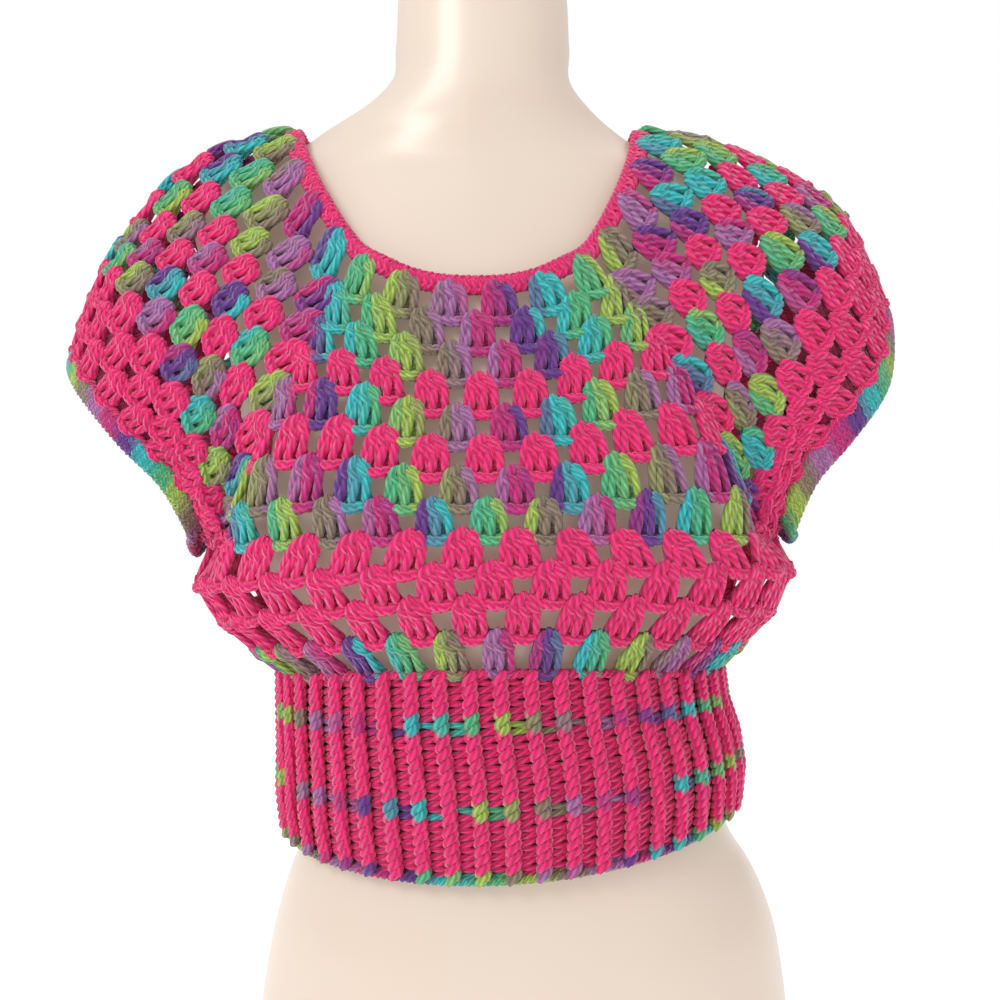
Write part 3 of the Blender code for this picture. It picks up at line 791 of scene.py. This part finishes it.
def add_shaded_backing(yarn_shade_strips, surface, ring, first, last, colour_of):
    """A strip of painted shade behind the lower edge of a row, between two shares of a ring: the
    yarn's colour darkened to 0.6.
    """
    share = np.linspace(first, last, max(int(abs(last - first) * surface.points.shape[1]), 6) + 1)
    points, _, down, normals = surface.at(ring, share)
    middle = points - normals * 1.0 * MM
    rows = np.stack((middle - down * 1.6 * MM, middle + down * 2.0 * MM), axis=1)
    # Painted shade: the row's yarn colour darkened to 0.6.
    yarn_shade_strips.add_strips(rows[None], (colour_of(share) * 0.6)[None])


def add_dense_yarn_shade(yarn_shade_strips, surface, row):
    """The row's closely worked yarn behind its clusters, all round a tube, as one strip in the
    row's colour darkened to 0.45: partly the dense yarn, partly painted shade.
    """
    share = np.linspace(0.0, 1.0, 145)
    edges = [surface.at(ring, share) for ring in (row - 1, row)]
    rows = np.stack([points - normals * 2.0 * MM for points, _, _, normals in edges], axis=1)
    # Painted shade: the strip's colour is the row's yarn darkened to 0.45.
    yarn_shade_strips.add_strips(rows[None], row_colour(row, share * 0)[None] * 0.45)


def add_chain(strands, yarn_shade_strips, surface, ring, first, last, colour_of, drop=0.6):
    """The chain edge of a row, between two shares of a ring, and a strip of painted shade behind it
    in the chain's colours darkened to 0.55.
    """
    count = max(int(abs(last - first) * surface.points.shape[1]), 6)
    share = np.linspace(first, last, count + 1)
    points, along, down, normals = surface.at(ring, share)
    colours = colour_of(share)
    closed = surface.closed and abs(last - first) > 0.999
    add_cord(strands, points + down * drop * MM, normals, down, colours, closed=closed)
    middle = points + down * drop * MM - normals * 1.2 * MM
    rows = np.stack((middle - down * 1.7 * MM, middle + down * 1.7 * MM), axis=1)
    # Painted shade: the chain's colours darkened to 0.55.
    yarn_shade_strips.add_strips(rows[None], (colours * 0.55)[None])


def yoke_row(strands, yarn_shade_strips, surface, row, offset):
    """A yoke row across one stretch. offset is the round's count at its first cluster."""
    count = (PANEL_CLUSTERS if surface.name in ("front", "back") else SHOULDER_CLUSTERS)
    count -= YOKE_ROWS - row
    index = np.arange(count)
    top_share = (index + 0.5) / count if row == 1 else index / (count - 1)
    bottom_share = (index + 0.5) / count
    pitch = np.full(count, surface.length(row) / count / MM)
    cluster = index + offset
    colours = np.stack([row_colour(row, cluster + post * 0.3) for post in (-1, 0, 1)], axis=1)
    bottom = surface.at(row, bottom_share)
    add_clusters(strands, yarn_shade_strips, surface.at(row - 1, top_share), bottom, pitch, colours)
    add_arcs(strands, bottom, pitch, colours)
    add_shaded_backing(yarn_shade_strips, surface, row, 0.0, 1.0,
                lambda share: row_colour(row, share * count - 0.5 + offset))


def loop_row(strands, yarn_shade_strips, surface, row, total, chosen, span):
    """A row of a loop. chosen are its clusters' places, and span the loop's part for a chain."""
    share = chosen / total
    pitch = np.full(len(chosen), surface.length(row) / total / MM)
    colours = np.stack([row_colour(row, chosen + post * 0.3) for post in (-1, 0, 1)], axis=1)
    bottom = surface.at(row, share)
    add_clusters(strands, yarn_shade_strips, surface.at(row - 1, share), bottom, pitch, colours)
    add_arcs(strands, bottom, pitch, colours)
    if row != BODY_ROWS:
        add_chain(strands, yarn_shade_strips, surface, row, span[0] / total, span[1] / total,
                  lambda part: row_colour(row, part * total), drop=-0.2)


# ---- materials ----
def node(tree, kind, links=None, **settings):
    """A new node with its properties and input values set and its inputs linked."""
    made = tree.nodes.new(kind)
    for name, value in settings.items():
        if name.startswith("in_"):
            key = name[3:].replace("_", " ")
            made.inputs[int(key) if key.isdigit() else key].default_value = value
        else:
            setattr(made, name, value)
    for key, source in (links or {}).items():
        output = source.outputs[0] if isinstance(source, bpy.types.Node) else source
        tree.links.new(output, made.inputs[key])
    return made


def new_material(name, values):
    """A material, its nodes and its shader, with values set on the shader's own sockets."""
    material = bpy.data.materials.new(name)
    material.use_nodes = True
    shader = material.node_tree.nodes["Principled BSDF"]
    for key, value in values.items():
        shader.inputs[key].default_value = value
    return material, material.node_tree, shader


def yarn_material(name):
    """Plied yarn: its colour from the mesh, twisted plies with painted shade in their grooves and
    painted highlights on their crests, fibres and a soft sheen.
    """
    material, tree, shader = new_material(name, {
        "Roughness": 0.72, "Specular IOR Level": 0.35, "Sheen Weight": 0.35,
        "Sheen Roughness": 0.45})
    place = node(tree, "ShaderNodeTexCoord").outputs["Object"]
    colour = node(tree, "ShaderNodeAttribute", attribute_name="yarn_colour")
    uv = node(tree, "ShaderNodeUVMap", uv_map="yarn_length")
    split = node(tree, "ShaderNodeSeparateXYZ", {0: uv})
    around = node(tree, "ShaderNodeMath", {0: split.outputs["X"]}, operation="MULTIPLY",
                  in_1=float(PLIES))
    turns = node(tree, "ShaderNodeMath", {0: split.outputs["Y"], 2: around},
                 operation="MULTIPLY_ADD", in_1=PLIES / (PLY_PITCH * MM))
    angle = node(tree, "ShaderNodeMath", {0: turns}, operation="MULTIPLY", in_1=2 * math.pi)
    wave = node(tree, "ShaderNodeMath", {0: angle}, operation="COSINE")
    ply = node(tree, "ShaderNodeMapRange", {0: wave}, in_1=-1.0)
    fibres = node(tree, "ShaderNodeTexNoise", {0: place}, in_Scale=2600.0, in_Detail=2.0)
    mottle = node(tree, "ShaderNodeTexNoise", {0: place}, in_Scale=260.0, in_Detail=1.0)
    height = node(tree, "ShaderNodeMath", {0: fibres, 2: ply}, operation="MULTIPLY_ADD", in_1=0.35)
    bump = node(tree, "ShaderNodeBump", {"Height": height}, in_Strength=0.7, in_Distance=0.0009)
    # Painted shade in the grooves between the plies and a painted highlight on their crests, times
    # a random mottle.
    ply_groove_shade = node(tree, "ShaderNodeMapRange", {0: ply}, in_3=0.6, in_4=1.1)
    cloud = node(tree, "ShaderNodeMapRange", {0: mottle}, in_1=0.3, in_2=0.7, in_3=0.86, in_4=1.12)
    shade_and_mottle = node(tree, "ShaderNodeMath", {0: ply_groove_shade, 1: cloud}, operation="MULTIPLY")
    tint = node(tree, "ShaderNodeVectorMath", {0: colour, "Scale": shade_and_mottle}, operation="SCALE")
    tree.links.new(bump.outputs[0], shader.inputs["Normal"])
    tree.links.new(tint.outputs[0], shader.inputs["Base Color"])
    return material


def form_material():
    """Smooth cream plastic with faint unevenness, and a faint painted glow that lightens the shade
    seen through the top's holes.
    """
    # Painted light: the form glows faintly warm (emission 0.13) to lighten the shade in the holes.
    material, tree, shader = new_material("form_plastic", {
        "Roughness": 0.38, "Coat Weight": 0.3, "Coat Roughness": 0.18,
        "Emission Color": (1.0, 0.72, 0.58, 1.0), "Emission Strength": 0.13})
    place = node(tree, "ShaderNodeTexCoord").outputs["Object"]
    cloud = node(tree, "ShaderNodeTexNoise", {0: place}, in_Scale=9.0, in_Detail=2.0)
    ramp = node(tree, "ShaderNodeMix", {0: cloud}, data_type="RGBA",
                in_6=(0.60, 0.51, 0.42, 1.0), in_7=(0.64, 0.55, 0.46, 1.0))
    pores = node(tree, "ShaderNodeTexNoise", {0: place}, in_Scale=420.0, in_Detail=1.0)
    bump = node(tree, "ShaderNodeBump", {"Height": pores}, in_Strength=0.04, in_Distance=0.0004)
    tree.links.new(ramp.outputs[2], shader.inputs["Base Color"])
    tree.links.new(bump.outputs[0], shader.inputs["Normal"])
    return material


# ---- the form ----
FORM_ROUND = 128        # points round a level section of the form
FORM_PARTS = 7          # levels between two of the table's


def add_form():
    """The dress form, its table's sections joined by a smooth curve in height."""
    table = np.array(FORM, dtype=float)
    heights = table[:, 0]
    slopes = np.gradient(table, heights, axis=0)
    turn = np.arange(FORM_ROUND) * 2 * math.pi / FORM_ROUND
    points = []
    for low in range(len(table) - 1):
        step = heights[low + 1] - heights[low]
        for t in np.arange(FORM_PARTS + (low == len(table) - 2)) / FORM_PARTS:
            values = ((1 + 2 * t) * (1 - t) ** 2 * table[low]
                      + t * (1 - t) ** 2 * step * slopes[low]
                      + t * t * (3 - 2 * t) * table[low + 1]
                      + t * t * (t - 1) * step * slopes[low + 1])
            row = dict(zip(FORM_COLUMNS, values))
            power = 2.0 / row["exponent"]
            across = np.sign(np.sin(turn)) * abs(np.sin(turn)) ** power
            along = -np.sign(np.cos(turn)) * abs(np.cos(turn)) ** power
            depth = np.where(along < 0, row["front_depth"], row["back_depth"])
            y = along * depth + row["set_back"] * across ** 2
            points += [place(across[i] * row["half_width"] + row["shift"], y[i], row["height"])
                       for i in range(FORM_ROUND)]
    index = np.arange(len(points)).reshape(-1, FORM_ROUND)
    after = np.roll(index, -1, axis=1)
    faces = np.stack((index[:-1], after[:-1], after[1:], index[1:]), -1).reshape(-1, 4).tolist()
    faces += [index[0][::-1].tolist(), index[-1].tolist()]
    mesh = bpy.data.meshes.new("form_surface")
    mesh.from_pydata([tuple(point) for point in points], [], faces)
    mesh.shade_smooth()
    mesh.set_sharp_from_angle(angle=math.radians(50))
    mesh.materials.append(form_material())
    item = link_object("form_surface", mesh)
    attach(item, "root")
    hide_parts("dress_form")


# ---- the top ----
YARN_MATERIAL = yarn_material("yarn")
# Painted shade: the strips behind the stitches use the yarn's shader with darkened colours.
YARN_SHADE_STRIP_MATERIAL = yarn_material("yarn_shadow")


def add_top():
    """The yoke, the body and the sleeves, as strips of darkened yarn colour for painted shade and
    the yarn, for each piece.
    """
    yoke = yoke_surfaces()
    neckband = add_neckband(yoke)
    body = body_surface()
    parts = {name: (Strands(), Patches()) for name in ("front", "back", "left", "right")}
    for row in range(1, YOKE_ROWS + 1):
        start = {"front": 0, "left": 5 + row, "back": 12 + 2 * row, "right": -(7 + row)}
        for name, surface in yoke.items():
            yoke_row(*parts[name], surface, row, start[name])
    for row in range(YOKE_ROWS + 1, BODY_ROWS + 1):
        shift = 0.0 if row % 2 else 0.5
        places = np.arange(BODY_CLUSTERS) + shift
        side = PANEL_CLUSTERS + UNDERARM_CLUSTERS / 2
        turn = BODY_CLUSTERS / 2
        ahead = (places < side) | (places >= side + turn)
        loop_row(*parts["front"], body, row, BODY_CLUSTERS, places[ahead], (side - turn, side))
        loop_row(*parts["back"], body, row, BODY_CLUSTERS, places[~ahead], (side, side + turn))
    for side in SIDES:
        tube = tube_surface(side, yoke[side])
        for row in (9, 10, 11):
            places = np.arange(TUBE_CLUSTERS) + (0.0 if row % 2 else 0.5)
            loop_row(*parts[side], tube, row, TUBE_CLUSTERS, places, (0.0, TUBE_CLUSTERS))
            add_dense_yarn_shade(parts[side][1], tube, row)
        add_edging(side, tube)
    for name, (strands, yarn_shade_strips) in parts.items():
        piece = name if name in ("front", "back") else "sleeve_" + name
        yarn = strands.build(piece + "_yarn", YARN_MATERIAL, piece)
        shaded_ground = yarn_shade_strips.build(piece + "_ground", YARN_SHADE_STRIP_MATERIAL, piece)
        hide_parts(piece)


def add_sc_rows(strands, lines, normals, colour_of, pitch):
    """Single crochet between successive closed lines: two slanting legs a stitch."""
    for upper, lower in zip(lines, lines[1:]):
        steps = np.linalg.norm(np.diff(np.concatenate((lower, lower[:1])), axis=0), axis=1)
        count = int(steps.sum() / MM / pitch)
        size = len(upper)
        t = np.linspace(0.0, 1.0, 5)
        place = np.arange(count) / count * size

        def pick(values, shift):
            where = np.mod(place + shift * size / count, size)
            low = np.floor(where).astype(int) % size
            part = (where - np.floor(where))[:, None]
            return values[low] * (1 - part) + values[(low + 1) % size] * part

        for lean in (-0.42, 0.42):
            start, end = pick(upper, lean), pick(lower, 0.06 * lean)
            normal = unit(pick(normals, 0.0))[:, None]
            path = start[:, None] * (1 - t)[:, None] + end[:, None] * t[:, None]
            path = path + normal * (1.3 * np.sin(math.pi * t)[:, None] * MM)
            paint = colour_of(np.arange(count) / count)[:, None] * np.ones((1, 5, 1))
            strands.add(path, np.broadcast_to(normal, path.shape),
                        np.full((count, 5), YARN * 0.95), paint)


def band(name, node_slot, lines, normals, colour_of, pitch=5.6):
    """A crocheted band between closed lines, with a twisted chain on each line."""
    strands, yarn_shade_strips = Strands(), Patches()
    add_sc_rows(strands, lines, normals, colour_of, pitch)
    share = np.linspace(0.0, 1.0, len(lines[0]) + 1)
    colours = colour_of(share)
    looped = [np.concatenate((line, line[:1])) for line in lines]
    normal = np.concatenate((normals, normals[:1]))
    down = unit(looped[-1] - looped[0])
    for line in looped:
        add_cord(strands, line, normal, down, colours, radius=1.7, turn_mm=6.4, closed=True)
    # Painted shade: a strip behind the band in its colours darkened to 0.6.
    rows = np.stack((looped[0], looped[-1]), axis=1) - normal[:, None] * 0.6 * MM
    yarn_shade_strips.add_strips(rows[None], (colours * 0.6)[None])
    yarn = strands.build(name + "_yarn", YARN_MATERIAL, node_slot)
    shaded_ground = yarn_shade_strips.build(name + "_ground", YARN_SHADE_STRIP_MATERIAL, node_slot)
    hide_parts(node_slot)
    return [shaded_ground, yarn]


def add_edging(side, tube):
    """The two-row edging at a sleeve's hem."""
    share = np.arange(170) / 170
    samples = [tube.at(ring, share) for ring in (11.15, 11.55, 11.95)]
    lines = [sample[0] for sample in samples]
    length = np.linalg.norm(np.roll(lines[-1], -1, axis=0) - lines[-1], axis=1).sum()
    cycle = length / 0.105
    band("sleeve_edge_" + side, "sleeve_edge_" + side, lines, samples[1][3],
         lambda part: yarn_colour(np.asarray(part) * round(cycle) + 0.2))


def add_neckband(yoke):
    """The neckband, carried on from the yoke's first row."""
    rings = [np.concatenate([surface.points[ring][:-1] for surface in yoke.values()])
             for ring in (0, 1)]
    rise = unit(rings[0] - rings[1])
    normals = np.concatenate([surface.normals[0][:-1] for surface in yoke.values()])
    lines = [rings[0] + rise * height * MM for height in (BAND_WIDTH - 0.2, 0.4)]
    lines = [smooth_loop(line) for line in lines]
    return band("neckband", "neckband", lines, normals,
                lambda part: np.broadcast_to(PINK, np.shape(part) + (3,)), pitch=5.0)


def smooth_loop(line):
    """A closed line with its small kinks evened out."""
    return (np.roll(line, 1, axis=0) + line * 2 + np.roll(line, -1, axis=0)) / 4


RIB_ROWS = 10
RIBS = 48               # raised columns round the waistband
RIB_CYCLE = 9.5         # raised columns in one cycle of the variegated yarn
SPECKS = (2.0, 6.0, 9.5)        # rows from the top where raised specks start
SPECK_HEIGHT = 0.85             # in rows
SUNKEN_SPECKS = (2.45, 6.45, 9.6)
SUNKEN_HEIGHT = 0.4
DIPS = 3 * RIB_ROWS     # sunken strands one over another between two columns


def add_waistband():
    """The ribbed waistband: raised and sunken columns of post stitches."""
    ribs = np.arange(RIBS)
    rings = []
    for index in range(len(RIB)):
        halves = rib_ring(index) if index else body_ring(BODY_ROWS)
        loop = np.concatenate((resample(as_array(halves[FRONT]), 240),
                               resample(as_array(halves[BACK])[::-1], 240)))
        rings.append(loop)
    surface = Surface(dict(enumerate(rings)), closed=True)
    strands, yarn_shade_strips = Strands(), Patches()
    last = len(RIB) - 1
    steps = RIB_ROWS * 8
    levels = np.linspace(0.0, last, steps + 1)
    share = ribs / RIBS
    samples = [surface.at(level, share) for level in levels]
    points, along, down, normals = (np.stack([sample[k] for sample in samples], axis=1)
                                    for k in range(4))
    height = levels / last * RIB_ROWS
    paint = np.broadcast_to(PINK, points.shape).copy()
    speckle = yarn_colour(ribs[:, None] / RIB_CYCLE + height[None] * 0.02)
    for row in SPECKS:
        inside = (height >= row) & (height < row + SPECK_HEIGHT)
        seen = (ribs * 5 + int(row)) % 7 > 0        # a few specks are missing
        paint[np.ix_(seen, inside)] = speckle[np.ix_(seen, inside)]
    for half in (0.0, 1.0):
        turn = 2 * math.pi * (height + 0.5 * half)
        offset = along * (2.1 * np.cos(turn))[None, :, None]
        offset = offset + normals * (1.9 + 1.3 * np.sin(turn))[None, :, None]
        strands.add(points + offset * MM, normals, np.full((RIBS, steps + 1), 2.35), paint)
    between = (ribs + 0.5) / RIBS
    t = np.linspace(-1.0, 1.0, 6)
    for dip in range(DIPS):
        level = (dip + 0.5) / DIPS * last
        centre, across, below, outward = surface.at(level, between)
        width = 5.2 + 0.6 * ((dip * 7) % 3 - 1)
        slant = 0.9 if dip % 3 == 1 else -0.9
        path = centre[:, None] + across[:, None] * (t * width)[:, None] * MM
        path = path + below[:, None] * (t * slant)[:, None] * MM
        path = path + outward[:, None] * (-1.6 - 0.9 * t ** 2)[:, None] * MM
        level_row = level / last * RIB_ROWS
        colour = np.broadcast_to(PINK, (RIBS, 3)).copy()
        if any(row <= level_row < row + SUNKEN_HEIGHT for row in SUNKEN_SPECKS):
            seen = (ribs * 3 + dip) % 5 > 1
            colour[seen] = yarn_colour((ribs + 0.5) / RIB_CYCLE)[seen]
        normal = np.broadcast_to(outward[:, None], path.shape)
        strands.add(path, normal, np.full((RIBS, 6), 1.75),
                    colour[:, None] * np.ones((1, 6, 1)))
    closed = np.linspace(0.0, 1.0, 481)
    for level in (0.02, last):
        edge_points, _, edge_down, edge_normals = surface.at(level, closed)
        tint = np.broadcast_to(PINK, edge_points.shape)
        if level == last:
            tint = yarn_colour(closed * RIBS / RIB_CYCLE)
        add_cord(strands, edge_points, edge_normals, edge_down, tint, radius=1.6, closed=True)
    # Painted shade: strips 3 mm inside the ribbing in the pink darkened to half.
    back_levels = np.linspace(0.0, last, 9)
    grid = [surface.at(level, closed) for level in back_levels]
    for upper, lower in zip(grid, grid[1:]):
        rows_pair = np.stack((upper[0] - upper[3] * 3.0 * MM, lower[0] - lower[3] * 3.0 * MM), 1)
        yarn_shade_strips.add_strips(rows_pair[None], np.broadcast_to(PINK * 0.5, (1, 481, 3)))
    yarn = strands.build("waistband_yarn", YARN_MATERIAL, "waistband")
    shaded_ground = yarn_shade_strips.build("waistband_ground", YARN_SHADE_STRIP_MATERIAL, "waistband")
    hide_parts("waistband")


# ---- the studio ----
AMBIENT = 0.72          # strength of the light from all round; the camera sees plain white
FLOOR_REACH = 6.0
FLOOR_GLOW = 0.36       # what the floor needs to look as white as the space behind it
AIM = Vector((0.0, 0.0, 0.33))
LIGHTS = (              # name, place, size in metres and power in watts
    ("key", (-1.1, -1.3, 1.5), 0.8, 15.0),
    ("fill", (1.3, -1.2, 0.9), 1.2, 1.0),
    ("top", (0.0, 0.3, 1.9), 1.4, 3.0),
)
CAMERA_SIDE = 5.75      # towards the wearer's left of the figure's middle
CAMERA_DISTANCE = 600.0
EYE_HEIGHT = 340.0
LENS = 37.55


def add_floor():
    """A pale floor."""
    mesh = bpy.data.meshes.new("floor")
    corners = [(x * FLOOR_REACH, y * FLOOR_REACH, 0)
               for x, y in ((-1, -1), (1, -1), (1, 1), (-1, 1))]
    mesh.from_pydata(corners, [], [(0, 1, 2, 3)])
    white = (1.0, 1.0, 1.0, 1.0)
    mesh.materials.append(new_material("floor", {
        "Base Color": (0.93, 0.93, 0.93, 1), "Roughness": 1.0, "Specular IOR Level": 0.0,
        "Emission Color": white, "Emission Strength": FLOOR_GLOW})[0])
    floor = link_object("floor", mesh)


def add_studio():
    """A pale floor, soft light from all round and the camera in front of the chest."""
    scene = bpy.context.scene
    add_floor()
    world = bpy.data.worlds.new("studio")
    world.use_nodes = True
    sky = world.node_tree
    seen = node(sky, "ShaderNodeLightPath")
    strength = node(sky, "ShaderNodeMapRange", {0: seen}, in_3=AMBIENT)
    sky.links.new(strength.outputs[0], sky.nodes["Background"].inputs["Strength"])
    sky.nodes["Background"].inputs["Color"].default_value = (1.0, 1.0, 1.0, 1.0)
    scene.world = world
    for name, location, size, power in LIGHTS:
        light = bpy.data.lights.new(name, "AREA")
        light.size = size
        light.energy = power
        lamp = link_object(name, light, location)
        lamp.rotation_euler = (AIM - lamp.location).to_track_quat("-Z", "Y").to_euler()
    view = bpy.data.cameras.new("camera")
    view.sensor_width = 36.0
    view.lens = LENS
    location = Vector((CAMERA_SIDE + MIDDLE_X, MIDDLE_Y - CAMERA_DISTANCE, EYE_HEIGHT)) * MM
    scene.camera = link_object("camera", view, location)
    scene.camera.rotation_euler = (math.pi / 2, 0.0, 0.0)
    scene.view_settings.view_transform = "Standard"


add_studio()
add_top()
add_waistband()
add_form()
